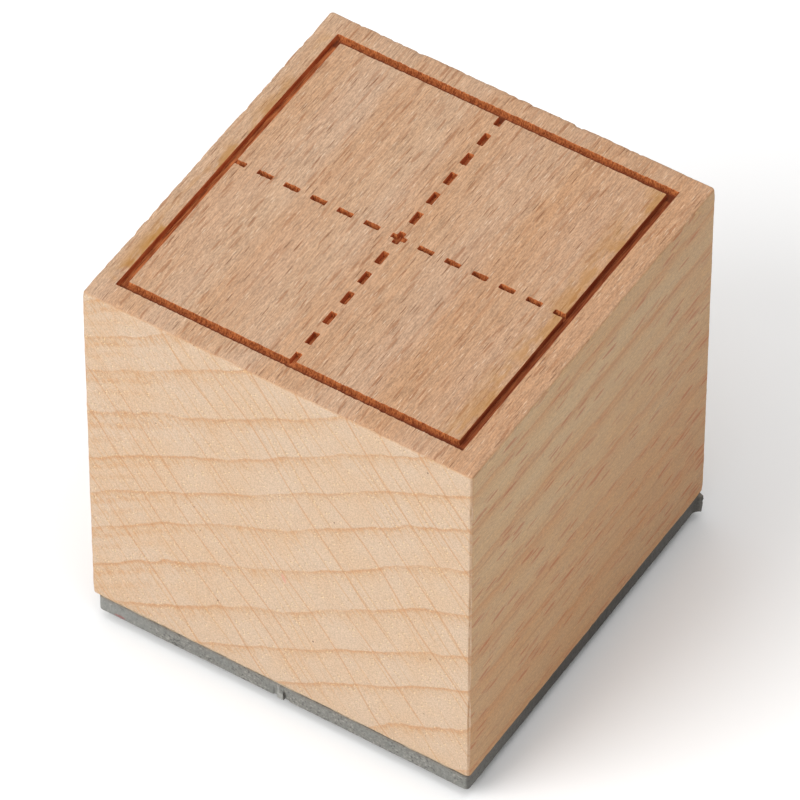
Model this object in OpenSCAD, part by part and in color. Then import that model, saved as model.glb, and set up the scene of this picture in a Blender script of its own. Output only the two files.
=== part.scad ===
// Block stamp that prints a square with a dashed cross, as used for writing practice.
// A solid beech block is the handle. Its top is engraved with the printed figure, so the
// user can see what the stamp prints and which way it lies. A rubber die is bonded
// underneath. Millimetres, +Z up. The origin is on the printing face, under the centre
// of the block. The grain of the wood runs along Y.

/* [Handle block] */
// Width and depth of the block
block_side = 30; // [24:0.5:60]
// Height of the block
block_h = 30.2; // [15:0.1:60]
// Rounding of the block's edges
edge_r = 0.2; // [0.1:0.05:0.6]

/* [Figure] */
// Margin from the block's sides to the square outline
figure_margin = 1.7; // [1.5:0.1:3]
// Line width of the square outline
outline_w = 0.6; // [0.3:0.05:1]
// Dashes from the centre to the outline, counting the one that runs into it
dash_count = 6; // [3:1:9]
// Share of the pitch that a dash covers
dash_share = 0.54; // [0.3:0.02:0.7]
// Line width of the dashes that lie along the grain
dash_w_along = 0.46; // [0.2:0.02:0.6]
// Line width of the dashes that lie across the grain
dash_w_across = 0.38; // [0.2:0.02:0.6]

/* [Engraving] */
// Depth of the engraved lines
engrave_depth = 0.45; // [0.1:0.05:1]
// How far the engraving sits off the block's centre, along X
engrave_shift_x = -0.14; // [-0.3:0.02:0.3]
// How far the engraving sits off the block's centre, along Y
engrave_shift_y = 0.05; // [-0.3:0.02:0.3]

/* [Rubber die] */
// How much narrower than the block the die is
die_short_x = 0.6; // [0.3:0.1:1]
// How much less deep than the block the die is
die_short_y = 0.2; // [0.1:0.1:1]
// How far the die sits off the block's centre, along X
die_shift_x = 0.18; // [-0.2:0.02:0.2]
// How far the die sits off the block's centre, along Y
die_shift_y = -0.08; // [-0.1:0.02:0.1]
// Rounding of the die's upright corners
die_corner_r = 0.3; // [0.1:0.05:0.6]
// Thickness of the die's base sheet
base_t = 1.35; // [0.8:0.05:3]
// Height of the printing lines below the base sheet
relief_h = 0.95; // [0.4:0.05:1.5]
// Height of the wider shoulder at the foot of the printing lines
shoulder_h = 0.4; // [0.1:0.05:0.4]
// How far the shoulder stands out on each side of a line
shoulder_w = 0.15; // [0.05:0.05:0.2]
// Thickness of the bonding film
film_t = 0.1; // [0.05:0.05:0.3]
// How far the film stays back from the die's edge
film_inset = 0.05; // [0:0.05:0.3]

/* [Hidden] */
figure_w = block_side - 2 * figure_margin;
// The last dash is centred a quarter of a pitch inside the middle of the outline.
dash_pitch = (figure_w - outline_w) / 2 / (dash_count + 0.25);
dash_len = dash_share * dash_pitch;

die_w = block_side - die_short_x;
die_d = block_side - die_short_y;
base_z = relief_h;
film_z = base_z + base_t;
block_z = film_z + film_t;

// Small overlap that makes unions and cuts clean
eps = 0.01;
round_fn = 32;

// A rectangle about the origin with round corners
module round_rect(w, d, r) {
    square([w, d - 2 * r], center = true);
    square([w - 2 * r, d], center = true);
    for (x = [-1, 1], y = [-1, 1]) {
        translate([x * (w / 2 - r), y * (d / 2 - r)]) circle(r = r, $fn = round_fn);
    }
}

// One dash at the origin. Its length lies along Y if it is along the grain.
module dash(along, grow) {
    size = along ? [dash_w_along, dash_len] : [dash_len, dash_w_across];
    square([size[0] + 2 * grow, size[1] + 2 * grow], center = true);
}

// The printed figure, flat. grow widens every line by that much on each side.
module figure(grow = 0) {
    difference() {
        square(figure_w + 2 * grow, center = true);
        square(figure_w - 2 * outline_w - 2 * grow, center = true);
    }
    for (i = [-dash_count : dash_count]) {
        translate([0, i * dash_pitch]) dash(true, grow);
        translate([i * dash_pitch, 0]) dash(false, grow);
    }
}

// Solid block with all twelve edges rounded, standing on z = 0
module eased_block(w, h, r) {
    translate([0, 0, h / 2]) intersection() {
        linear_extrude(h, center = true) round_rect(w, w, r);
        rotate([90, 0, 0]) linear_extrude(w, center = true) round_rect(w, h, r);
        rotate([0, 90, 0]) linear_extrude(w, center = true) round_rect(h, w, r);
    }
}

module handle_block() {
    color([0.86, 0.73, 0.58])
    translate([0, 0, block_z]) difference() {
        eased_block(block_side, block_h, edge_r);
        translate([engrave_shift_x, engrave_shift_y, block_h - engrave_depth])
            linear_extrude(engrave_depth + eps) figure();
    }
}

module adhesive_film() {
    color([0.55, 0.48, 0.38])
    translate([die_shift_x, die_shift_y, film_z])
        linear_extrude(film_t)
            round_rect(die_w - 2 * film_inset, die_d - 2 * film_inset, die_corner_r);
}

module rubber_die() {
    color([0.52, 0.51, 0.49])
    translate([die_shift_x, die_shift_y, 0]) {
        translate([0, 0, base_z]) linear_extrude(base_t) round_rect(die_w, die_d, die_corner_r);
        // The die prints, so it carries the figure mirrored.
        mirror([1, 0, 0]) {
            linear_extrude(relief_h + eps) figure();
            translate([0, 0, relief_h - shoulder_h])
                linear_extrude(shoulder_h + eps) figure(shoulder_w);
        }
    }
}

handle_block();
adhesive_film();
rubber_die();
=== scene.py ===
import math

import bpy
import numpy as np
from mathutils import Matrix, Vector, geometry


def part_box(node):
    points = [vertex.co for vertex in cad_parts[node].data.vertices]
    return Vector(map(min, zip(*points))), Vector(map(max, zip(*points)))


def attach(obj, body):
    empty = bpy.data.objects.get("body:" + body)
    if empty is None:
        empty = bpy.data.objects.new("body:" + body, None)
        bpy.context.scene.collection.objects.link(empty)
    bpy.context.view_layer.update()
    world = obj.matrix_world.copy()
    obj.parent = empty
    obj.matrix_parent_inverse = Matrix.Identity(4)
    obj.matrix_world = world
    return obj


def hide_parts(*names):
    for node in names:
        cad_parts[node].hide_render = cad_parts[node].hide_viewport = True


# A rubber stamp: a beech block with the printed figure engraved in its top, a bonding film
# and a grey laser-engraved rubber die. Lengths are in millimetres until a mesh or a lamp is
# made, and the frame is the CAD model's: origin on the printing face, +Z up, grain along Y.

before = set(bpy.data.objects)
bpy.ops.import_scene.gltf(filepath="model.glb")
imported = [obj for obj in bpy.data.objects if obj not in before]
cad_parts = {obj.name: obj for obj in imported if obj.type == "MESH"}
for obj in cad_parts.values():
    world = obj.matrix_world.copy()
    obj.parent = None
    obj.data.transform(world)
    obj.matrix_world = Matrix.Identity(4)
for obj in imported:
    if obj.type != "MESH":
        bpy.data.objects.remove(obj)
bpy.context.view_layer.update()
MM = 0.001


def node_box(node):
    """The lowest and highest corner of a CAD node, in millimetres."""
    low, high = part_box(node)
    return np.array(low) / MM, np.array(high) / MM


BLOCK_LOW, BLOCK_HIGH = node_box("handle_block")
DIE_LOW, DIE_HIGH = node_box("rubber_die")
FILM_LOW, FILM_HIGH = node_box("adhesive_film")
DIE_MIDDLE = (DIE_LOW + DIE_HIGH) / 2

# The figure, as in the CAD model
FIGURE_MARGIN, LINE_W = 1.7, 0.6
FIGURE_HALF = (BLOCK_HIGH[0] - BLOCK_LOW[0]) / 2 - FIGURE_MARGIN
DASHES, DASH_SHARE = 6, 0.54
DASH_PITCH = (FIGURE_HALF - LINE_W / 2) / (DASHES + 0.25)
DASH_LEN = DASH_SHARE * DASH_PITCH
DASH_W_ALONG, DASH_W_ACROSS = 0.46, 0.38
ENGRAVE_DEPTH, ENGRAVE_SHIFT = 0.45, (-0.14, 0.05)
RELIEF_H = 0.95
# The round upright corners of the die and the film
SHEET_CORNER_R = 0.3


# ---------------------------------------------------------------- noise

def lattice(i, j, seed):
    """A repeatable random number from -1 to 1 for each whole-number pair."""
    k = i.astype(np.int64) * 374761393 + j.astype(np.int64) * 668265263 + seed * 974634777
    k = (k ^ (k >> 13)) * 1274126177
    k = k ^ (k >> 16)
    return (k & 0xFFFFFF) / float(0x7FFFFF) - 1.0


def wander(x, y, seed=0):
    """Smooth noise from -1 to 1, with one random value per unit of x and of y."""
    x, y = np.broadcast_arrays(np.asarray(x, float), np.asarray(y, float))
    i, j = np.floor(x), np.floor(y)
    u, v = x - i, y - j
    u, v = u * u * (3 - 2 * u), v * v * (3 - 2 * v)
    low = lattice(i, j, seed) * (1 - u) + lattice(i + 1, j, seed) * u
    high = lattice(i, j + 1, seed) * (1 - u) + lattice(i + 1, j + 1, seed) * u
    return low * (1 - v) + high * v


def smoothstep(low, high, x):
    """Runs smoothly from 0 to 1 as x goes from low to high, which may be the smaller."""
    t = np.clip((x - low) / (high - low), 0, 1)
    return t * t * (3 - 2 * t)


# ---------------------------------------------------------------- mesh building

class Builder:
    """Collects vertices and faces, in millimetres, and makes one mesh object of them."""

    def __init__(self):
        self.points, self.faces, self.slots = [], [], []
        self.count = 0

    def add(self, xy, z):
        """Adds points and returns their numbers."""
        xy = np.asarray(xy, float)
        z = np.broadcast_to(np.asarray(z, float), len(xy))
        self.points.append(np.column_stack([xy, z]))
        first, self.count = self.count, self.count + len(xy)
        return np.arange(first, self.count)

    def strip(self, low, high, slot=0):
        """Quads between two closed rings of the same number of points."""
        a, b = low, high
        quads = np.column_stack([a, np.roll(a, -1), np.roll(b, -1), b])
        self.faces += quads.tolist()
        self.slots += [slot] * len(quads)

    def fill(self, rings, inner_xy, inner_z, slot=0, up=True):
        """Triangles over the plane inside an odd number of the rings.

        They run through those of the inner points that lie there.
        """
        where = np.vstack(self.points)
        loops = [where[ring, :2] for ring in rings]
        within = self.inside(loops, inner_xy)
        inner_z = np.broadcast_to(inner_z, len(inner_xy))[within]
        inner_xy = inner_xy[within]
        ring_numbers = np.concatenate(rings)
        inner = self.add(inner_xy, inner_z)
        numbers = np.concatenate([ring_numbers, inner])
        flat = np.vstack([where[ring_numbers, :2], inner_xy])
        edges, start = [], 0
        for ring in rings:
            n = len(ring)
            edges += [(start + i, start + (i + 1) % n) for i in range(n)]
            start += n
        out, _, triangles, origins, _, _ = geometry.delaunay_2d_cdt(
            [Vector(p) for p in flat.tolist()], edges, [], 0, 1e-7
        )
        back = np.array([o[0] for o in origins])
        out = np.array(out)
        triangles = np.array(triangles)
        middles = out[triangles].mean(1)
        keep = self.inside(loops, middles)
        kept = numbers[back[triangles[keep]]]
        if not up:
            kept = kept[:, ::-1]
        self.faces += kept.tolist()
        self.slots += [slot] * len(kept)

    @staticmethod
    def inside(loops, points):
        """True for each point that lies inside an odd number of the loops."""
        odd = np.zeros(len(points), bool)
        px, py = points[:, 0], points[:, 1]
        for loop in loops:
            for (ax, ay), (bx, by) in zip(loop, np.roll(loop, -1, 0)):
                if ay == by:
                    continue
                crosses = (ay > py) != (by > py)
                odd ^= crosses & (px < ax + (py - ay) * (bx - ax) / (by - ay))
        return odd

    def make(self, name, materials, sharp_deg=32):
        """The mesh object, smooth but for edges sharper than that angle."""
        mesh = bpy.data.meshes.new(name)
        mesh.from_pydata((np.vstack(self.points) * MM).tolist(), [], self.faces)
        mesh.polygons.foreach_set("material_index", self.slots)
        for m in materials:
            mesh.materials.append(m)
        mesh.shade_smooth()
        mesh.set_sharp_from_angle(angle=math.radians(sharp_deg))
        mesh.update()
        piece = bpy.data.objects.new(name, mesh)
        bpy.context.scene.collection.objects.link(piece)
        return piece


def shares(length, step, fine_span=None, fine_step=0.03):
    """Points along a side as shares of its length, closer together in the fine span."""
    at = np.linspace(0, length, round(length / step) + 1)[:-1]
    if fine_span:
        low, high = fine_span
        at = at[(at < low - fine_step) | (at > high + fine_step)]
        at = np.sort(np.append(at, np.arange(low, high, fine_step)))
    return at / length


def box_ring(low, high, inset, radius, sides):
    """A rectangle with round corners, anticlockwise from the front left, set in by inset.

    sides gives the points on the front, right, back and left, as shares of the side.
    Returns the points and their outward normals.
    """
    (x0, y0), (x1, y1) = low[:2] + inset, high[:2] - inset
    radius = max(radius - inset, 0.03)
    corners = np.array([(x0, y0), (x1, y0), (x1, y1), (x0, y1)])
    points, normals = [], []
    for side in range(4):
        a, b = corners[side], corners[(side + 1) % 4]
        along = (b - a) / np.linalg.norm(b - a)
        out = np.array([along[1], -along[0]])
        at = sides[side] * (np.linalg.norm(b - a) - 2 * radius)
        points.append(a + along * (radius + at)[:, None])
        normals.append(np.tile(out, (len(at), 1)))
        turn = np.linspace(0, math.pi / 2, 7)[:-1]
        middle = b - along * radius - out * radius
        ray = np.cos(turn)[:, None] * out + np.sin(turn)[:, None] * along
        points.append(middle + ray * radius)
        normals.append(ray)
    return np.vstack(points), np.vstack(normals)


def traced(corners, grow, step_x, step_y, soften):
    """A closed outline of sides square to each other, with small round corners.

    It is moved outward by grow, and the number of its points doesn't depend on grow.
    """
    corners = np.array(corners, float)
    run = np.roll(corners, -1, 0) - corners
    lengths = np.abs(run).sum(1)
    run /= lengths[:, None]
    out = np.column_stack([run[:, 1], -run[:, 0]])
    moved = corners + grow * (out + np.roll(out, 1, 0))
    points = []
    for i, here in enumerate(moved):
        start, end = here + run[i] * soften, moved[(i + 1) % len(moved)] - run[i] * soften
        before = here - run[i - 1] * soften
        points += [before, (before + start + 2 * here) / 4, start]
        step = step_x if run[i, 1] == 0 else step_y
        count = max(1, round((lengths[i] - 2 * soften) / step))
        points += [start + (end - start) * k / count for k in range(1, count)]
    return np.array(points)


def side_normals(loop):
    """The normal to the right of each point's direction of travel."""
    run = np.roll(loop, -1, 0) - np.roll(loop, 1, 0)
    out = np.column_stack([run[:, 1], -run[:, 0]])
    return out / np.linalg.norm(out, axis=1)[:, None]


# ---------------------------------------------------------------- the figure

def spurred_square(half, reach, half_wide_x, half_wide_y):
    """The outline's inner edge, clockwise, with the dash that meets the middle of each side."""
    corners = []
    for quarter in range(4):
        wide = half_wide_x if quarter % 2 == 0 else half_wide_y
        side = [(half, -half), (half, -wide), (reach, -wide), (reach, wide), (half, wide)]
        c, s = math.cos(quarter * math.pi / 2), math.sin(quarter * math.pi / 2)
        corners += [(x * c - y * s, x * s + y * c) for x, y in side]
    return corners[::-1]


def rectangle(x, y, half_x, half_y):
    """The corners of a rectangle about x, y, anticlockwise."""
    return [
        (x - half_x, y - half_y),
        (x + half_x, y - half_y),
        (x + half_x, y + half_y),
        (x - half_x, y + half_y),
    ]


def plus(long, wide_x, wide_y):
    """A plus sign: wide_x is the half width of the arm along X, wide_y of the one along Y."""
    return [
        (long, -wide_x), (long, wide_x), (wide_y, wide_x), (wide_y, long),
        (-wide_y, long), (-wide_y, wide_x), (-long, wide_x), (-long, -wide_x),
        (-wide_y, -wide_x), (-wide_y, -long), (wide_y, -long), (wide_y, -wide_x),
    ]


def figure_loops(grow, step_x, step_y, soften):
    """Every edge of the figure's lines as a loop of points, with the line on its left.

    grow widens the lines by that much on each side.
    """
    outer, inner = FIGURE_HALF, FIGURE_HALF - LINE_W
    reach = DASHES * DASH_PITCH - DASH_LEN / 2
    across, along, long = DASH_W_ACROSS / 2, DASH_W_ALONG / 2, DASH_LEN / 2
    shapes = [
        rectangle(0, 0, outer, outer),
        spurred_square(inner, reach, across, along),
        plus(long, across, along),
    ]
    for i in range(1, DASHES):
        for side in (-1, 1):
            shapes.append(rectangle(side * i * DASH_PITCH, 0, long, across))
            shapes.append(rectangle(0, side * i * DASH_PITCH, along, long))
    return [traced(s, grow, step_x, step_y, soften) for s in shapes]


def scattered(half_x, half_y, step_x, step_y, keep_off, clear, seed):
    """Jittered points over a rectangle, none nearer than clear to the points keep_off."""
    xs = np.arange(-half_x + step_x, half_x, step_x)
    ys = np.arange(-half_y + step_y, half_y, step_y)
    i, j = (a.ravel() for a in np.meshgrid(np.arange(len(xs)), np.arange(len(ys))))
    x = xs[i] + 0.35 * step_x * lattice(i, j, seed)
    y = ys[j] + 0.35 * step_y * lattice(i, j, seed + 1)
    keep = np.ones(len(x), bool)
    order = np.argsort(keep_off[:, 0])
    off = keep_off[order]
    for k in range(len(x)):
        a, b = np.searchsorted(off[:, 0], [x[k] - clear, x[k] + clear])
        near = off[a:b]
        if len(near) and np.min(np.hypot(near[:, 0] - x[k], near[:, 1] - y[k])) < clear:
            keep[k] = False
    return np.column_stack([x, y])[keep]


# ---------------------------------------------------------------- the beech block

EDGE_R, BOTTOM_R = 0.2, 0.07     # the eased edges, and the crisper ones at the bottom
SIDE_RINGS, WALL_RINGS = 78, 6   # rings of points up the sides and down the engraved walls
SIDE_STEP = 0.2                  # between points along the sides
LIP = 0.02                       # how far the engraved lines open out at the top
ENGRAVE_STEPS = (0.07, 0.12, 0.07)   # along X and Y, and at the corners of the lines


def torn(loop, out, depth):
    """How far an engraved edge strays outward. depth is 0 at the lip and 1 at the floor.

    It is ragged across the fibres and nearly straight along them.
    """
    x, y = loop[:, 0], loop[:, 1]
    across = 0.030 * wander(x / 0.13, y * 0.9 + depth * 0.8, 3)
    across += 0.018 * wander(x / 0.42, y + depth, 4)
    along = 0.010 * wander(y / 0.9, x + depth * 3, 5) + 0.006 * wander(y / 0.3, x + depth * 5, 6)
    taper = -0.05 * depth
    return np.abs(out[:, 1]) * across + np.abs(out[:, 0]) * along + taper


def floor_height(xy, seed=11):
    """Charred fibres run along Y on the engraved floor."""
    x, y = xy[:, 0], xy[:, 1]
    return 0.030 * wander(x / 0.11, y / 1.3, seed) + 0.022 * wander(x / 0.3, y / 2.5, seed + 1)


def block_rings():
    """The rings of the block's sides, from the bottom up.

    Each is (inset, height, share of the wear inward, share of the wear downward).
    """
    low, high, r, small = BLOCK_LOW[2], BLOCK_HIGH[2], EDGE_R, BOTTOM_R
    rings = [(small + 0.15, low, 0, 0)]
    for a in np.linspace(0, math.pi / 2, 4):
        c, s = math.cos(a), math.sin(a)
        rings.append((small * (1 - s), low + small * (1 - c), s, -c))
    for z in np.linspace(low + small + 0.1, high - r - 0.1, SIDE_RINGS):
        rings.append((0, z, 1, 0))
    for a in np.linspace(0, math.pi / 2, 6):
        c, s = math.cos(a), math.sin(a)
        rings.append((r * (1 - c), high - r * (1 - s), c, s))
    rings.append((r + 0.12, high, 0, 0.25))
    rings.append((r + 0.3, high, 0, 0))
    return rings


def worn(xy, z, out):
    """How far the block's surface stands back: little on its faces, more along its edges."""
    upright = smoothstep(0.3, 0.8, np.abs(out[:, 0] * out[:, 1]) * 2)
    level = 1 - smoothstep(0.1, 0.5, min(BLOCK_HIGH[2] - z, z - BLOCK_LOW[2]))
    where = xy[:, 0] - xy[:, 1] + 0.2 * (xy[:, 0] + xy[:, 1])
    sawn = 0.006 * (1 + wander(where / 3.1, z / 2.3, 21))
    edge = np.maximum(upright, level)
    nick = np.clip(wander(where / 0.45, z / 0.45, 22), 0, 1) ** 1.5
    fine = np.clip(wander(where / 0.25, z / 0.3, 23), 0, 1)
    soft = 1 + wander(where / 2.0, z / 1.8, 24)
    rough = 1.0 if z > BLOCK_LOW[2] + 1 else 0.35
    rough = rough * (1 - 0.85 * smoothstep(12.2, 13.6, np.abs(xy).min(1)) * level)
    fine_depth = 0.04 + 0.035 * upright
    return sawn + edge * (rough * (0.11 * nick + fine_depth * fine) + 0.02 * soft)


def make_block(beech, char):
    """The block: its worn sides, the top with the engraved lines, and the bottom."""
    mesh = Builder()
    side = shares(BLOCK_HIGH[0] - BLOCK_LOW[0], SIDE_STEP)
    rings = []
    for inset, z, inward, down in block_rings():
        near_end = 1 - smoothstep(0.0, 1.0, min(BLOCK_HIGH[2] - z, z - BLOCK_LOW[2]))
        corner_r = EDGE_R + 0.1 * near_end
        loop, out = box_ring(BLOCK_LOW, BLOCK_HIGH, inset, corner_r, [side] * 4)
        wear = worn(loop, z, out)
        rings.append(mesh.add(loop - out * (wear * inward)[:, None], z - wear * down))
    for low, high in zip(rings, rings[1:]):
        mesh.strip(low, high)

    shift = np.array(ENGRAVE_SHIFT)
    top = BLOCK_HIGH[2]
    levels = [(LIP, 0.0)] + [(0.0, share) for share in np.linspace(0.07, 1.0, WALL_RINGS)]
    stacks = []
    for wide, share in levels:
        level = []
        for edge in figure_loops(wide, *ENGRAVE_STEPS):
            edge_out = side_normals(edge)
            moved = edge + edge_out * torn(edge, edge_out, share)[:, None]
            height = top - ENGRAVE_DEPTH * share + (floor_height(moved) if share == 1.0 else 0.0)
            level.append(mesh.add(moved + shift, height))
        stacks.append(level)
    for upper, lower in zip(stacks, stacks[1:]):
        for lip, foot in zip(upper, lower):
            mesh.strip(lip, foot, slot=1)
    lips, floors = stacks[0], stacks[-1]
    figure = figure_loops(0.0, *ENGRAVE_STEPS)

    half_x, half_y = (BLOCK_HIGH[:2] - BLOCK_LOW[:2]) / 2
    edges = np.vstack([np.vstack(figure) + shift, np.vstack(mesh.points)[rings[-1], :2]])
    over_top = scattered(half_x, half_y, 0.6, 0.6, edges, 0.3, 31)
    over_top = over_top[np.all(np.abs(over_top) < half_x - EDGE_R - 0.5, axis=1)]
    mesh.fill([rings[-1], *lips], over_top, top)

    edge_points = np.vstack(figure)
    over_floor = scattered(FIGURE_HALF, FIGURE_HALF, 0.08, 0.16, edge_points, 0.045, 33)
    over_floor = over_floor[Builder.inside(figure, over_floor)]
    mesh.fill(floors, over_floor + shift, top - ENGRAVE_DEPTH + floor_height(over_floor), slot=1)

    under = scattered(half_x - 0.5, half_y - 0.5, 3.0, 3.0, edges, 0.3, 35)
    mesh.fill([rings[0]], under, BLOCK_LOW[2], up=False)
    return mesh.make("beech_block", [beech, char])


# ---------------------------------------------------------------- the rubber die

NUB_X, NUB_HALF, NUB_OUT = 0.12, 0.23, 0.11
FIN_Y, FIN_FOOT, FIN_LEAN, FIN_OUT = 14.2, 0.5, 0.40, 0.40
DIE_STEP = 0.14                  # between points along the sides
RELIEF_STEPS = (0.12, 0.12, 0.05)    # along X and Y, and at the corners of the lines


def tab_stubs(xy, z, out):
    """How far the torn ends of two tabs move each point of the die's edge, along X and Y.

    The tabs held the die in its sheet: one on the front, one on the right near the back.
    """
    x, y = xy[:, 0], xy[:, 1]
    up = (z - RELIEF_H) / (DIE_HIGH[2] - RELIEF_H)
    on_nub = smoothstep(NUB_HALF + 0.05, NUB_HALF, np.abs(x - NUB_X))
    rough = 0.03 * wander(x / 0.06, z / 0.08, 41) + 0.02 * wander(x / 0.15, z / 0.2, 42)
    torn_off = 1 - 0.75 * smoothstep(0.40, 0.62, up + 0.12 * wander(x / 0.1, 0, 43))
    nub = on_nub * (NUB_OUT * torn_off + rough)
    beside = smoothstep(0.28, 0.12, np.abs(np.abs(x - NUB_X) - NUB_HALF - 0.17))
    nub = nub - 0.09 * beside * (1 - on_nub) * smoothstep(0.85, 0.35, up)
    tip_y = FIN_Y + FIN_LEAN * up
    rise = np.clip((y - tip_y) / FIN_FOOT + 1, 0, 1) ** 1.7
    fall = smoothstep(tip_y + 0.24 - 0.14 * up, tip_y, y)
    ragged = 0.03 * wander(y / 0.15, z / 0.2, 44)
    fin = rise * fall * (FIN_OUT + ragged) * (1 - 0.6 * smoothstep(0.92, 1.0, up))
    return np.column_stack([np.where(x > 0, fin, 0), np.where(out[:, 1] < -0.9, -nub, 0)])


def cut_edge(xy, z):
    """Small unevenness of the laser-cut edge, mostly as upright marks."""
    where = xy[:, 0] - xy[:, 1]
    marks = 0.010 * wander(where / 0.22, z / 1.5, 45) + 0.006 * wander(where / 0.1, z / 0.4, 46)
    return marks + 0.016 * wander(where / 2.6, 0, 47)


def make_die(rubber):
    """The die: the base sheet's edge, the flanks and tips of the printing lines, the top."""
    mesh = Builder()
    width, depth = (DIE_HIGH - DIE_LOW)[:2]
    nub = NUB_X - DIE_LOW[0]
    sides = [
        shares(width, DIE_STEP, (nub - 0.6, nub + 0.6)),
        shares(depth, DIE_STEP, (FIN_Y - 0.6 - DIE_LOW[1], depth - 0.1)),
        shares(width, DIE_STEP),
        shares(depth, DIE_STEP),
    ]
    base, top = RELIEF_H, DIE_HIGH[2]
    heights = [(0.09, base), (0.04, base + 0.012), (0.0, base + 0.05)]
    heights += [(0.0, z) for z in np.linspace(base + 0.13, top - 0.09, 15)]
    heights += [(0.0, top - 0.03), (0.03, top), (0.15, top)]
    rings = []
    for inset, z in heights:
        loop, out = box_ring(DIE_LOW, DIE_HIGH, inset, SHEET_CORNER_R, sides)
        moved = loop + out * cut_edge(loop, z)[:, None] + tab_stubs(loop, z, out)
        rings.append(mesh.add(moved, z))
    for low, high in zip(rings, rings[1:]):
        mesh.strip(low, high)

    middle = DIE_MIDDLE[:2]
    # How far each level of a line's flank stands out, from the recess down to the tip
    levels = [(0.26, base), (0.20, base - 0.04), (0.11, base - 0.22), (0.045, base - 0.48)]
    levels += [(0.012, base - 0.72), (0.0, 0.05), (-0.02, 0.012), (-0.05, 0.0)]
    stacks = []
    for wide, z in levels:
        level = []
        for edge in figure_loops(wide, *RELIEF_STEPS):
            stray = 0.008 * wander((edge[:, 0] + edge[:, 1]) / 0.2, z * 4, 51)
            moved = edge + side_normals(edge) * stray[:, None]
            level.append(mesh.add(moved[::-1] * (-1, 1) + middle, z))
        stacks.append(level)
    for upper, lower in zip(stacks, stacks[1:]):
        for foot, tip in zip(lower, upper):
            mesh.strip(foot, tip)
    feet, tips = stacks[0], stacks[-1]

    figure = [f[::-1] * (-1, 1) for f in figure_loops(0.0, *RELIEF_STEPS)]
    edges = np.vstack(figure)
    recess = scattered(14.3, 14.5, 0.5, 0.5, edges, 0.45, 53)
    mesh.fill([rings[0], *feet], recess + middle, base, up=False)
    tip_points = scattered(FIGURE_HALF, FIGURE_HALF, 0.2, 0.2, edges, 0.12, 55)
    tip_points = tip_points[Builder.inside(figure, tip_points)]
    mesh.fill(tips, tip_points + middle, 0.0, up=False)
    above = scattered(14.0, 14.0, 3.0, 3.0, edges, 0.3, 57)
    mesh.fill([rings[-1]], above + middle, top)
    return mesh.make("laser_rubber_die", [rubber])


# ---------------------------------------------------------------- the bonding film

def make_film(tape):
    """The film between the wood and the rubber, with an uneven edge."""
    mesh = Builder()
    side = shares(FILM_HIGH[1] - FILM_LOW[1], 0.25)
    low, high = FILM_LOW[2], FILM_HIGH[2]
    rings = []
    for inset, z in [(0.1, low), (0.02, low), (0.0, (low + high) / 2), (0.02, high), (0.1, high)]:
        loop, out = box_ring(FILM_LOW, FILM_HIGH, inset, SHEET_CORNER_R, [side] * 4)
        uneven = 0.03 * wander((loop[:, 0] - loop[:, 1]) / 0.7, 0, 61) + 0.005
        rings.append(mesh.add(loop + out * uneven[:, None], z))
    for a, b in zip(rings, rings[1:]):
        mesh.strip(a, b)
    middle = ((FILM_LOW + FILM_HIGH) / 2)[:2]
    inner = scattered(14.0, 14.0, 3.0, 3.0, loop, 0.3, 63)
    mesh.fill([rings[0]], inner + middle, low, up=False)
    mesh.fill([rings[-1]], inner + middle, high)
    return mesh.make("bonding_film", [tape])


# ---------------------------------------------------------------- material helpers

def linear(r, g, b):
    """An sRGB colour, 0 to 255, as the linear colour that a shader takes."""
    def one(v):
        v /= 255
        return v / 12.92 if v <= 0.04045 else ((v + 0.055) / 1.055) ** 2.4
    return (one(r), one(g), one(b), 1.0)


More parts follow.
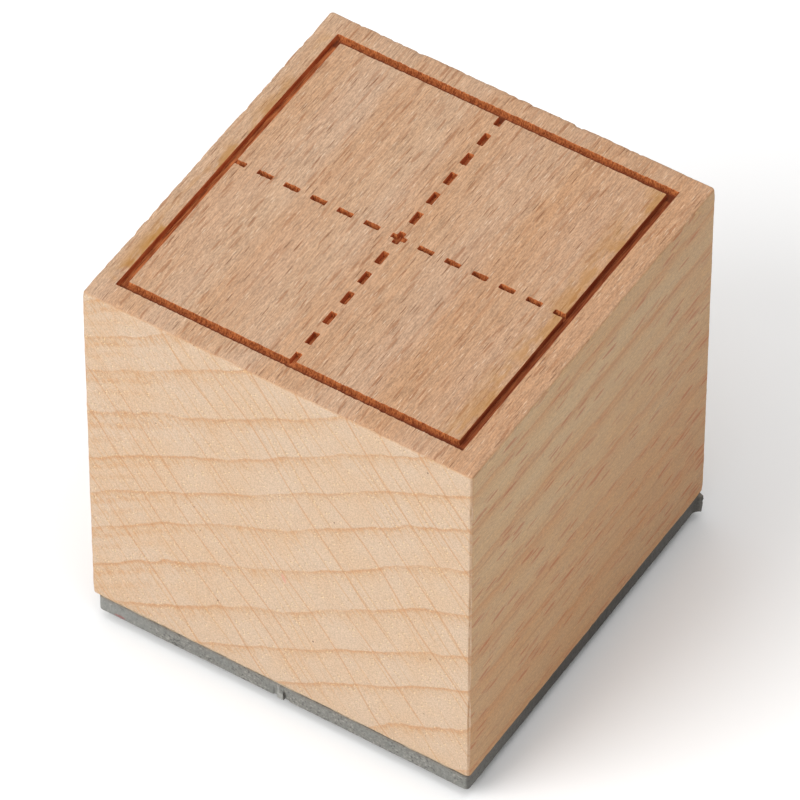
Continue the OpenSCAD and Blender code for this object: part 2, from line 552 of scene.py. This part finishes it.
class Graph:
    """A material's node tree, with short calls for the nodes that these materials use."""

    def __init__(self, name):
        self.material = bpy.data.materials.new(name)
        self.material.use_nodes = True
        self.tree = self.material.node_tree
        self.tree.nodes.clear()
        self.output = self.tree.nodes.new("ShaderNodeOutputMaterial")

    def put(self, socket, value):
        """Links the socket if value is another socket, and otherwise sets it."""
        if isinstance(value, bpy.types.NodeSocket):
            self.tree.links.new(value, socket)
        else:
            socket.default_value = value

    def node(self, kind, inputs=(), **settings):
        made = self.tree.nodes.new("ShaderNode" + kind)
        for name, value in settings.items():
            setattr(made, name, value)
        for name, value in dict(inputs).items():
            self.put(made.inputs[name], value)
        return made

    def math(self, operation, a, b=0.0, clamp=False):
        return self.node("Math", {0: a, 1: b}, operation=operation, use_clamp=clamp).outputs[0]

    def add(self, a, b):
        return self.math("ADD", a, b)

    def sum(self, *values):
        total = values[0]
        for v in values[1:]:
            total = self.add(total, v)
        return total

    def times(self, a, b):
        return self.math("MULTIPLY", a, b)

    def centred(self, noise, span):
        """Noise of 0 to 1 spread evenly about zero over that span."""
        return self.times(self.add(noise, -0.5), span)

    def lerp(self, share, a, b):
        """Mixes two colours."""
        mix = self.node("Mix", data_type="RGBA")
        self.put(mix.inputs[0], share)
        self.put(mix.inputs[6], a)
        self.put(mix.inputs[7], b)
        return mix.outputs[2]

    def tone(self, colour, by):
        """Multiplies a colour by a number."""
        return self.node("VectorMath", {0: colour, "Scale": by}, operation="SCALE").outputs[0]

    def step(self, value, low, high, to_low=0.0, to_high=1.0):
        """Runs smoothly from to_low to to_high as value goes from low to high."""
        values = {0: value, 1: low, 2: high, 3: to_low, 4: to_high}
        return self.node("MapRange", values, interpolation_type="SMOOTHSTEP").outputs[0]

    def vector(self, x, y, z):
        return self.node("CombineXYZ", {0: x, 1: y, 2: z}).outputs[0]

    def sized(self, where, size):
        """where with one unit per size."""
        values = {0: where, 1: size}
        return self.node("VectorMath", values, operation="DIVIDE").outputs[0]

    def moved(self, where, x, y, z):
        """where plus that much along X, Y and Z."""
        return self.node("VectorMath", {0: where, 1: (x, y, z)}, operation="ADD").outputs[0]

    def noise(self, where, size, detail=1.0, roughness=0.5, shift=0.0):
        """Smooth noise from 0 to 1 with features of that size in millimetres."""
        at = self.moved(self.sized(where, size), shift, shift * 1.7, shift * 0.3)
        inputs = {"Vector": at, "Scale": 1.0, "Detail": detail, "Roughness": roughness}
        return self.node("TexNoise", inputs).outputs[0]

    def spots(self, where, size, shift=0.0, flat=False):
        """(distance to the nearest of a scatter of points, a random number for that point).

        If flat, the third coordinate doesn't count.
        """
        at = self.moved(self.sized(where, size), shift, shift * 1.7, shift * 0.3)
        dimensions = "2D" if flat else "3D"
        cells = self.node("TexVoronoi", {"Vector": at, "Scale": 1.0}, voronoi_dimensions=dimensions)
        chance = self.node("SeparateColor", {0: cells.outputs["Color"]}).outputs[0]
        return cells.outputs["Distance"], chance

    def place(self):
        """The point in the row frame, in millimetres, and its x, y and z."""
        at = self.node("TexCoord").outputs["Object"]
        scaled = self.node("VectorMath", {0: at}, operation="SCALE")
        scaled.inputs[3].default_value = 1 / MM
        parts = self.node("SeparateXYZ", {0: scaled.outputs[0]}).outputs
        return scaled.outputs[0], parts[0], parts[1], parts[2]

    def normal(self):
        """The surface normal's X, Y and Z."""
        normal = self.node("NewGeometry").outputs["Normal"]
        return self.node("SeparateXYZ", {0: normal}).outputs[:3]

    def facing(self):
        """The surface normal's X, Y and Z without their signs."""
        return [self.math("ABSOLUTE", part) for part in self.normal()]

    def finish(self, colour, roughness, height, relief, specular=0.3):
        """A Principled shader. Its bumps are height times relief, in millimetres."""
        bump = self.node("Bump", {"Height": height, "Distance": relief * MM, "Strength": 1.0})
        shader = self.node("BsdfPrincipled", {"Base Color": colour, "Roughness": roughness})
        shader.inputs["Specular IOR Level"].default_value = specular
        self.put(shader.inputs["Normal"], bump.outputs[0])
        self.put(self.output.inputs[0], shader.outputs[0])
        return self.material


# ---------------------------------------------------------------- materials

RING_TILT = math.radians(31.0)   # the growth rings rise to +X by this on the end grain
RAY_TILT = math.radians(36.5)    # and the wood's rays run square to this
RING_SPACING = 3.3


def turned(g, x, z, tilt):
    """(t, n): x and z as seen from axes turned by tilt."""
    c, s = math.cos(tilt), math.sin(tilt)
    return g.add(g.times(x, c), g.times(z, s)), g.add(g.times(x, -s), g.times(z, c))


def ring_lines(g, t, y, n):
    """Growth rings, each part from 0 to 1, seen along t, along the grain y and across n.

    Returns the thin line at each ring's end, the shade below that line, a band with two
    soft sides, and two fainter bands between the lines.
    """
    flat = g.vector(t, g.times(y, 0.05), n)
    uneven = g.centred(g.noise(g.vector(0.0, 0.0, n), (9, 9, 9), 0.0, 0.5, 2.6), 3.4)
    sway = g.centred(g.noise(flat, (13, 13, 9), 1.0, 0.5), 2.2)
    nod = g.centred(g.noise(flat, (1.9, 3, 2.6), 1.0, 0.5, 4.0), 0.55)
    jitter = g.centred(g.noise(flat, (0.3, 3, 0.4), 1.0, 0.5, 6.0), 0.17)
    scallop = g.centred(g.noise(g.vector(t, y, n), (14, 1.8, 14), 1.0, 0.5, 35.0), 0.55)
    phase = g.math("DIVIDE", g.sum(n, uneven, sway, nod, jitter, scallop), RING_SPACING)
    part = g.math("FRACT", phase)
    below = g.times(g.math("SUBTRACT", 1.0, part), RING_SPACING)
    above = g.times(part, RING_SPACING)
    line = g.math("MAXIMUM", g.step(below, 0.36, 0.02), g.step(above, 0.12, 0.0))
    shade = g.math("POWER", g.step(part, 0.45, 1.0), 2.0)
    upper = g.step(g.math("ABSOLUTE", g.add(below, -0.85)), 0.32, 0.05)
    lower = g.step(g.math("ABSOLUTE", g.add(below, -1.9)), 0.40, 0.05, 0.0, 0.6)
    extra = g.math("MAXIMUM", upper, lower)
    which = g.math("FLOOR", phase)
    varied = g.noise(g.vector(g.times(t, 0.16), 0.0, g.times(which, 7.31)), (1, 1, 1), 1.0)
    band = g.times(g.step(part, 0.10, 0.85), g.step(part, 1.0, 0.84))
    return g.times(line, g.step(varied, 0.30, 0.65, 0.2, 1.0)), shade, band, extra


def rays(g, t, y, n, spacing, half_width, length, tall, cover, seed):
    """Wood rays, 0 to 1: sheets across t that reach far along n and not far along y.

    They show as thin lines on the end grain and as flecks on the other faces. cover is the
    noise level above which a ray is there.
    """
    bend = g.centred(g.noise(g.vector(t, g.times(y, 0.02), n), (7, 7, 9), 0.0, 0.5, seed), 1.6)
    along = g.math("DIVIDE", g.add(t, bend), spacing)
    number = g.math("FLOOR", along)
    random = g.node("TexWhiteNoise", {"W": g.add(number, seed)}, noise_dimensions="1D").outputs[0]
    away = g.math("SUBTRACT", g.math("FRACT", along), g.add(g.times(random, 0.6), 0.2))
    away = g.times(g.math("ABSOLUTE", away), spacing)
    where = g.vector(g.times(number, 13.7), g.math("DIVIDE", y, tall), g.math("DIVIDE", n, length))
    there = g.noise(where, (1, 1, 1), 1.0, 0.5, seed)
    there = g.step(there, cover, cover + 0.12)
    width = g.add(g.times(there, half_width), 0.01)
    line = g.math("SUBTRACT", 1.0, g.math("DIVIDE", away, width), clamp=True)
    return g.times(g.math("POWER", line, 0.7), there)


def flecks(g, t, y, n, level):
    """The lens-shaped flecks of the long grain, 0 to 1. They lean a little on the sides."""
    bend = g.centred(g.noise(g.vector(t, y, n), (3, 9, 9), 0.0, 0.5, 2.0), 0.7)
    lean = g.times(g.times(y, -0.034), g.math("SUBTRACT", 1.0, level))
    along = g.sum(t, bend, lean)
    uneven = g.centred(g.noise(g.vector(t, y, n), (0.12, 0.5, 0.12), 0.0, 0.5, 8.0), 0.12)
    total = 0.0
    for size, reach, seed in (((0.33, 3.8, 1.0), 0.215, 21.0), ((0.62, 5.4, 1.0), 0.18, 57.0)):
        distance, chance = g.spots(g.vector(along, y, n), size, seed, flat=True)
        spot = g.step(g.add(distance, uneven), reach, reach * 0.60)
        total = g.math("MAXIMUM", total, g.times(spot, g.step(chance, 0.25, 0.95)))
    return total


def scorch(g, x, y):
    """Where the engraving has tanned the top beside its lines along the grain."""
    left = ENGRAVE_SHIFT[0] - FIGURE_HALF
    right = ENGRAVE_SHIFT[0] + FIGURE_HALF - LINE_W
    patches = g.noise(g.vector(x, y, 0.0), (0.9, 2.4, 1.0), 2.0, 0.6, 15.0)
    outside = g.times(g.step(x, left - 1.3, left - 0.1), g.step(x, left + 0.2, left + 0.1))
    outside = g.times(outside, g.step(y, 12.0, -8.0, 0.8, 1.5))
    inside = g.times(g.step(x, right - 2.4, right), g.step(x, right + 0.2, right + 0.1))
    ends = g.step(g.math("ABSOLUTE", y), FIGURE_HALF + 0.2, FIGURE_HALF - 0.9)
    return g.times(g.times(g.add(outside, inside), g.step(patches, 0.40, 0.60, 0.1, 1.0)), ends)


def end_grain(g, where, x, z, ray_t, ray_n, ring_set, ray_set, cloud):
    """The pale end grain: orange ring lines, thin rays, and open pores with a painted highlight on
    the rim and painted shade beside it.
    """
    rings, shade, extra = ring_set
    wide, middle, fine = ray_set
    pale = g.lerp(g.step(cloud, 0.3, 0.7), linear(200, 175, 150), linear(200, 171, 142))
    patches = g.noise(g.vector(ray_t, 0.0, ray_n), (0.16, 1, 0.75), 2.0, 0.6, 19.0)
    reach = g.add(g.times(shade, 0.65), g.step(x, 2.0, -13.0, 0.02, 0.26))
    pale = g.lerp(g.times(g.step(patches, 0.46, 0.68), reach), pale, linear(192, 146, 102))
    pale = g.lerp(g.times(shade, 0.26), pale, linear(190, 150, 110))
    extra = g.times(extra, g.step(patches, 0.36, 0.60, 0.25, 1.0))
    pale = g.lerp(g.times(extra, g.step(x, -6.0, -13.5, 0.0, 0.42)), pale, linear(192, 142, 96))
    line = linear(188, 134, 86)
    pale = g.lerp(g.times(rings, 0.52), pale, line)
    pale = g.lerp(g.times(wide, 0.60), pale, line)
    pale = g.lerp(g.times(middle, 0.50), pale, linear(192, 146, 98))
    pale = g.lerp(g.times(fine, 0.20), pale, linear(186, 138, 96))
    grit = g.noise(where, (0.11, 0.11, 0.11), 1.0, 0.6, 23.0)
    pale = g.tone(pale, g.step(grit, 0.25, 0.75, 0.86, 1.125))
    # Painted highlights on the rims of open pores
    painted_pore_highlight, chance = g.spots(where, (0.30, 0.30, 0.30), 5.0)
    painted_pore_highlight = g.times(g.step(painted_pore_highlight, 0.29, 0.12), g.step(chance, 0.30, 0.70))
    pale = g.lerp(g.times(painted_pore_highlight, 0.62), pale, linear(230, 206, 160))
    # Painted shade in those pores, offset 0.08 mm towards -X and 0.05 mm up
    dark, chance = g.spots(g.moved(where, 0.08, 0.0, -0.05), (0.30, 0.30, 0.30), 5.0)
    dark = g.times(g.step(dark, 0.25, 0.10), g.step(chance, 0.40, 0.75))
    pale = g.lerp(g.times(dark, 0.42), pale, linear(148, 112, 76))
    specks, chance = g.spots(where, (1.5, 1.5, 1.5), 8.0)
    speck = g.times(g.step(specks, 0.062, 0.03), g.step(chance, 0.5, 0.7))
    pale = g.lerp(g.times(speck, 0.8), pale, linear(88, 62, 42))
    # A stray touch of red ink
    smear_x = g.math("DIVIDE", g.sum(x, g.times(z, 0.35), -4.4), 0.14)
    smear_z = g.math("DIVIDE", g.add(z, -11.2), 0.42)
    smear = g.step(g.add(g.times(smear_x, smear_x), g.times(smear_z, smear_z)), 1.6, 0.2)
    return g.lerp(g.times(smear, 0.45), pale, linear(214, 138, 126))


def long_grain(g, where, x, y, z, ring_set, ray_set, cloud, level):
    """The redder long grain: streaks, short dark flecks, pores and painted glints of light along
    the fibres.

    level is 1 on the top and bottom. The engraving has tanned the top. Also returns the
    fibres, for the bumps.
    """
    rings, shade = ring_set
    wide, fleck = ray_set
    fibre = g.noise(where, (0.070, 1.5, 0.070), 1.0, 0.6)
    strand = g.noise(where, (0.24, 4.5, 0.24), 2.0, 0.6, 9.0)
    grain = g.noise(where, (0.06, 0.24, 0.06), 1.0, 0.6, 27.0)
    top = g.lerp(g.step(cloud, 0.3, 0.7), linear(182, 150, 124), linear(181, 147, 118))
    side = g.lerp(g.step(cloud, 0.3, 0.7), linear(192, 161, 123), linear(192, 154, 112))
    # Painted shade: the long-grain sides grow darker and more orange towards the bottom
    side = g.lerp(g.step(z, 28.0, 0.0, 0.0, 0.44), side, linear(174, 124, 80))
    side = g.lerp(g.step(y, -15.0, 15.0, 0.0, 0.14), side, linear(150, 104, 68))
    wood = g.lerp(level, side, top)
    wood = g.lerp(g.times(g.step(x, -8.0, 14.0), g.times(level, 0.32)), wood, linear(166, 120, 84))
    banded = g.lerp(level, linear(187, 124, 74), linear(176, 124, 80))
    wood = g.lerp(g.times(shade, 0.30), wood, banded)
    wood = g.lerp(g.times(rings, g.add(g.times(level, -0.11), 0.19)), wood, linear(162, 98, 54))
    streaks = g.add(g.times(level, 0.08), 0.04)
    wood = g.lerp(g.times(g.step(strand, 0.42, 0.70), streaks), wood, linear(204, 176, 148))
    wood = g.lerp(g.times(g.step(strand, 0.52, 0.26), streaks), wood, linear(172, 116, 70))
    rough = g.add(g.step(fibre, 0.22, 0.78, -0.15, 0.16), g.step(grain, 0.25, 0.75, -0.19, 0.20))
    wood = g.tone(wood, g.add(g.times(rough, g.add(g.times(level, 0.19), 0.80)), 1.0))
    wood = g.lerp(g.times(wide, 0.26), wood, linear(146, 90, 50))
    dark = g.lerp(level, linear(168, 92, 56), linear(142, 92, 58))
    wood = g.lerp(g.times(fleck, g.add(g.times(level, -0.10), 0.62)), wood, dark)
    pore, chance = g.spots(where, (0.22, 3.2, 1.0), 44.0, flat=True)
    pore = g.times(g.times(g.step(pore, 0.20, 0.10), g.step(chance, 0.62, 0.92)), level)
    wood = g.lerp(g.times(pore, 0.72), wood, linear(116, 78, 52))
    # Painted highlights: short pale glints along the fibres of the top and bottom
    painted_glint, chance = g.spots(where, (0.18, 1.9, 1.0), 12.0, flat=True)
    painted_glint = g.times(g.times(g.step(painted_glint, 0.18, 0.06), g.step(chance, 0.55, 0.9)), level)
    wood = g.lerp(g.times(painted_glint, 0.42), wood, linear(238, 216, 190))
    tan = g.times(scorch(g, x, y), level)
    return g.lerp(g.times(tan, 0.58), wood, linear(166, 118, 56)), fibre


def beech_material():
    """One solid of wood, seen as end grain or as long grain by the way a face looks."""
    g = Graph("beech")
    where, x, y, z = g.place()
    z = g.add(z, -float(BLOCK_LOW[2]))
    t, n = turned(g, x, z, RING_TILT)
    ray_t, ray_n = turned(g, x, z, RAY_TILT)
    face_x, face_y, face_z = g.facing()
    end = g.step(face_y, 0.45, 0.75)
    level = g.step(face_z, 0.45, 0.75)
    rings, shade, band, extra = ring_lines(g, t, y, n)
    shade = g.add(g.times(shade, g.math("SUBTRACT", 1.0, level)), g.times(band, level))
    cloud = g.noise(where, (3.0, 12.0, 3.0), 1.5, 0.5, 17.0)
    wide = rays(g, ray_t, y, ray_n, 2.9, 0.085, 20.0, 14.0, 0.36, 3.0)
    middle = rays(g, ray_t, y, ray_n, 0.9, 0.075, 9.0, 2.2, 0.46, 40.0)
    fine = rays(g, ray_t, y, ray_n, 0.42, 0.07, 9.0, 1.1, 0.50, 71.0)
    fleck = flecks(g, ray_t, y, ray_n, level)
    ring_set, ray_set = (rings, shade, extra), (wide, middle, fine)
    pale = end_grain(g, where, x, z, ray_t, ray_n, ring_set, ray_set, cloud)
    red, fibre = long_grain(g, where, x, y, z, (rings, shade), (wide, fleck), cloud, level)
    colour = g.lerp(end, red, pale)
    # The eased edges are a little darker than the faces that they part
    flattest = g.math("MAXIMUM", face_x, g.math("MAXIMUM", face_y, face_z))
    colour = g.lerp(g.step(flattest, 0.985, 0.85, 0.0, 0.38), colour, linear(172, 128, 90))
    rough = g.step(fibre, 0.2, 0.8, 0.50, 0.68)
    pores, _ = g.spots(where, (0.34, 0.34, 0.34), 5.0)
    height = g.add(g.times(fibre, 0.8), g.times(g.step(pores, 0.0, 0.22), 0.5))
    return g.finish(colour, rough, height, 0.022, 0.25)


def char_material():
    """The walls and floors of the engraved lines: burnt red-brown, with paler fibres."""
    g = Graph("charred_beech")
    where, x, y, _ = g.place()
    face_x, face_y, face_z = g.facing()
    fibre = g.noise(where, (0.09, 1.6, 0.25), 2.0, 0.6, 5.0)
    patch = g.noise(where, (0.5, 1.4, 0.5), 2.0, 0.5, 12.0)
    cut_across = g.step(face_y, 0.4, 0.75)
    cut_along = g.step(face_x, 0.4, 0.75)
    floor = g.lerp(g.step(fibre, 0.32, 0.68), linear(122, 58, 28), linear(186, 112, 66))
    across = g.lerp(g.step(fibre, 0.30, 0.66), linear(134, 66, 33), linear(198, 119, 67))
    along = g.lerp(g.step(fibre, 0.30, 0.70), linear(160, 72, 36), linear(196, 110, 64))
    colour = g.lerp(cut_across, floor, across)
    colour = g.lerp(cut_along, colour, along)
    colour = g.lerp(g.times(g.step(patch, 0.4, 0.75), 0.25), colour, linear(112, 46, 22))
    right = g.times(g.step(x, 3.0, 13.0), g.step(face_y, 0.75, 0.4))
    colour = g.lerp(g.times(right, 0.52), colour, linear(96, 30, 12))
    # Painted shade: the floor is darkened under the near walls of the lines that run across the
    # grain
    front = ENGRAVE_SHIFT[1] - FIGURE_HALF + LINE_W / 2
    back = ENGRAVE_SHIFT[1] + FIGURE_HALF - LINE_W / 2
    shade_under_front = g.step(y, front + 0.27, front + 0.05)
    shade_under_back = g.times(
        g.step(y, back + 0.27, back + 0.05), g.step(y, back - LINE_W, back - LINE_W + 0.2)
    )
    near = g.math("MAXIMUM", shade_under_front, shade_under_back)
    colour = g.lerp(g.times(near, g.step(face_z, 0.4, 0.75, 0.0, 0.75)), colour, linear(88, 38, 20))
    rough = g.step(fibre, 0.2, 0.8, 0.70, 0.90)
    return g.finish(colour, rough, fibre, 0.03, 0.15)


def fresh_tear(g, x, z, normal_y, noise):
    """The paler torn rubber, 0 to 1: the stub on the front and a thin line above it."""
    beside = g.math("ABSOLUTE", g.add(x, -NUB_X))
    low = RELIEF_H + 0.55
    stub = g.times(g.step(beside, NUB_HALF + 0.02, NUB_HALF - 0.04), g.step(z, low + 0.10, low))
    line = g.math("ABSOLUTE", g.sum(x, 0.20 - NUB_X, g.centred(noise, 0.25)))
    line = g.times(g.step(line, 0.16, 0.03), g.step(z, low - 0.05, low + 0.08))
    return g.times(g.add(g.times(stub, 0.5), g.times(line, 0.42)), g.step(normal_y, -0.2, -0.6))


def rubber_material():
    """Matte grey laser rubber: mottled and finely pitted, with painted shade on its right-hand cut
    edge.
    """
    g = Graph("grey_laser_rubber")
    where, x, y, z = g.place()
    normal_x, normal_y, _ = g.normal()
    mottle = g.noise(where, (0.30, 0.30, 0.45), 3.0, 0.65)
    cloud = g.noise(where, (1.6, 1.6, 1.2), 1.5, 0.5, 7.0)
    grain = g.noise(where, (0.08, 0.08, 0.08), 2.0, 0.6, 13.0)
    colour = g.lerp(g.step(mottle, 0.25, 0.75), linear(108, 108, 104), linear(133, 134, 129))
    colour = g.lerp(g.times(g.step(cloud, 0.35, 0.7), 0.5), colour, linear(122, 119, 113))
    colour = g.tone(colour, g.step(grain, 0.25, 0.75, 0.85, 1.16))
    pits, chance = g.spots(where, (0.45, 0.45, 0.45), 3.0)
    pit = g.times(g.step(pits, 0.26, 0.12), g.step(chance, 0.5, 0.8))
    colour = g.lerp(g.times(pit, 0.6), colour, linear(70, 68, 64))
    dust = g.noise(where, (0.17, 0.17, 0.17), 0.0, 0.5, 31.0)
    dusty = g.step(cloud, 0.35, 0.65, 0.25, 1.0)
    light = g.times(g.step(dust, 0.58, 0.80, 0.0, 0.50), dusty)
    colour = g.lerp(light, colour, linear(168, 166, 158))
    dark = g.times(g.step(dust, 0.38, 0.20, 0.0, 0.75), dusty)
    colour = g.lerp(dark, colour, linear(58, 58, 56))
    colour = g.lerp(g.step(x, -8.0, -14.0, 0.0, 0.22), colour, linear(160, 160, 156))
    colour = g.lerp(fresh_tear(g, x, z, normal_y, dust), colour, linear(176, 175, 170))
    # Painted shade on the right-hand (+X) cut edge, strongest in the middle of its length
    painted_right_edge_shade = g.step(normal_x, 0.35, 0.8)
    right_edge_shade_strength = g.add(g.step(y, -15.0, -3.0, 0.55, 0.94), g.step(y, 2.0, 13.0, 0.0, -0.13))
    colour = g.lerp(g.times(painted_right_edge_shade, right_edge_shade_strength), colour, linear(62, 58, 53))
    die_top = float(DIE_HIGH[2])
    upper = g.step(z, die_top - 0.3, die_top)
    colour = g.lerp(g.times(upper, 0.35), colour, linear(112, 98, 82))
    # A touch of red ink low on the front
    ink_x = g.math("DIVIDE", g.add(x, 12.8), 0.42)
    ink_z = g.math("DIVIDE", g.add(z, -1.16), 0.13)
    spread = g.sum(g.times(ink_x, ink_x), g.times(ink_z, ink_z), g.centred(mottle, 1.5))
    ink = g.times(g.step(spread, 1.5, 0.3), g.step(normal_y, -0.4, -0.8))
    colour = g.lerp(g.times(ink, 0.55), colour, linear(150, 62, 62))
    rough = g.step(mottle, 0.2, 0.8, 0.55, 0.75)
    height = g.sum(g.times(grain, 0.6), mottle, g.times(pit, -0.8))
    return g.finish(colour, rough, height, 0.03, 0.4)


def film_material():
    """The film's tan edge."""
    g = Graph("bonding_film")
    where = g.place()[0]
    patch = g.noise(where, (0.5, 0.5, 0.1), 2.0, 0.6, 3.0)
    colour = g.lerp(g.step(patch, 0.35, 0.65), linear(134, 112, 86), linear(184, 166, 140))
    return g.finish(colour, 0.45, patch, 0.01, 0.4)


# ---------------------------------------------------------------- stage, lights and camera

AZIMUTH, ELEVATION, ROLL = 32.403, 48.654, 0.129   # of the camera, in degrees
DISTANCE, LENS = 595.2, 402.7
AIM_HEIGHT = BLOCK_LOW[2] + 14.34
LAMP_AIM_HEIGHT = 16.0


def toward(azimuth, elevation):
    """The direction from the stamp at those degrees: 0, 0 is the front and +X is at 90."""
    a, e = math.radians(azimuth), math.radians(elevation)
    return Vector((math.sin(a) * math.cos(e), -math.cos(a) * math.cos(e), math.sin(e)))


def make_floor():
    """A large, flat, pale sheet."""
    bpy.ops.mesh.primitive_plane_add(size=3.0)
    floor = bpy.context.object
    floor.name = "floor"
    g = Graph("pale_floor")
    tone = g.noise(g.place()[0], (40.0, 40.0, 40.0), 2.0, 0.5)
    colour = g.lerp(tone, (0.90, 0.90, 0.90, 1), (0.92, 0.92, 0.92, 1))
    floor.data.materials.append(g.finish(colour, 0.9, tone, 0.01, 0.1))


def area_light(name, azimuth, elevation, distance, size, watts):
    """A square lamp that looks at the stamp from that side. Its lengths are in metres."""
    back = toward(azimuth, elevation)
    lamp = bpy.data.lights.new(name, "AREA")
    lamp.energy, lamp.size = watts, size
    made = bpy.data.objects.new(name, lamp)
    bpy.context.scene.collection.objects.link(made)
    made.location = back * distance + Vector((0, 0, LAMP_AIM_HEIGHT * MM))
    made.rotation_mode = "QUATERNION"
    made.rotation_quaternion = (-back).to_track_quat("-Z", "Y")


def make_lights():
    """A soft white room with a key lamp on the left, one overhead and a weak one on the right."""
    world = bpy.data.worlds.new("studio")
    world.use_nodes = True
    sky = world.node_tree.nodes["Background"]
    sky.inputs["Color"].default_value = (1, 1, 1, 1)
    sky.inputs["Strength"].default_value = 0.33
    bpy.context.scene.world = world
    area_light("key", -30, 38, 0.8, 0.5, 4.8)
    area_light("overhead", 0, 88, 0.9, 0.8, 5.0)
    area_light("right_fill", 75, 30, 0.9, 0.7, 1.0)


def make_camera():
    """A long lens at the photograph's angle."""
    back = toward(AZIMUTH, ELEVATION)
    data = bpy.data.cameras.new("camera")
    data.sensor_width, data.lens = 36.0, LENS
    data.clip_start, data.clip_end = 0.05, 10.0
    camera = bpy.data.objects.new("camera", data)
    bpy.context.scene.collection.objects.link(camera)
    camera.location = (Vector((0, 0, AIM_HEIGHT)) + back * DISTANCE) * MM
    camera.rotation_euler = (-back).to_track_quat("-Z", "Y").to_euler()
    camera.rotation_euler.rotate_axis("Z", math.radians(ROLL))
    bpy.context.scene.camera = camera


# ---------------------------------------------------------------- the scene

bpy.context.scene.view_settings.view_transform = "Standard"
make_camera()
make_floor()
make_lights()

block = make_block(beech_material(), char_material())
film = make_film(film_material())
die = make_die(rubber_material())

for piece, node, slot in (
    (block, "handle_block", "beech"),
    (film, "adhesive_film", "bonding_film"),
    (die, "rubber_die", "die_rubber"),
):
    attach(piece, "root")
    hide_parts(node)
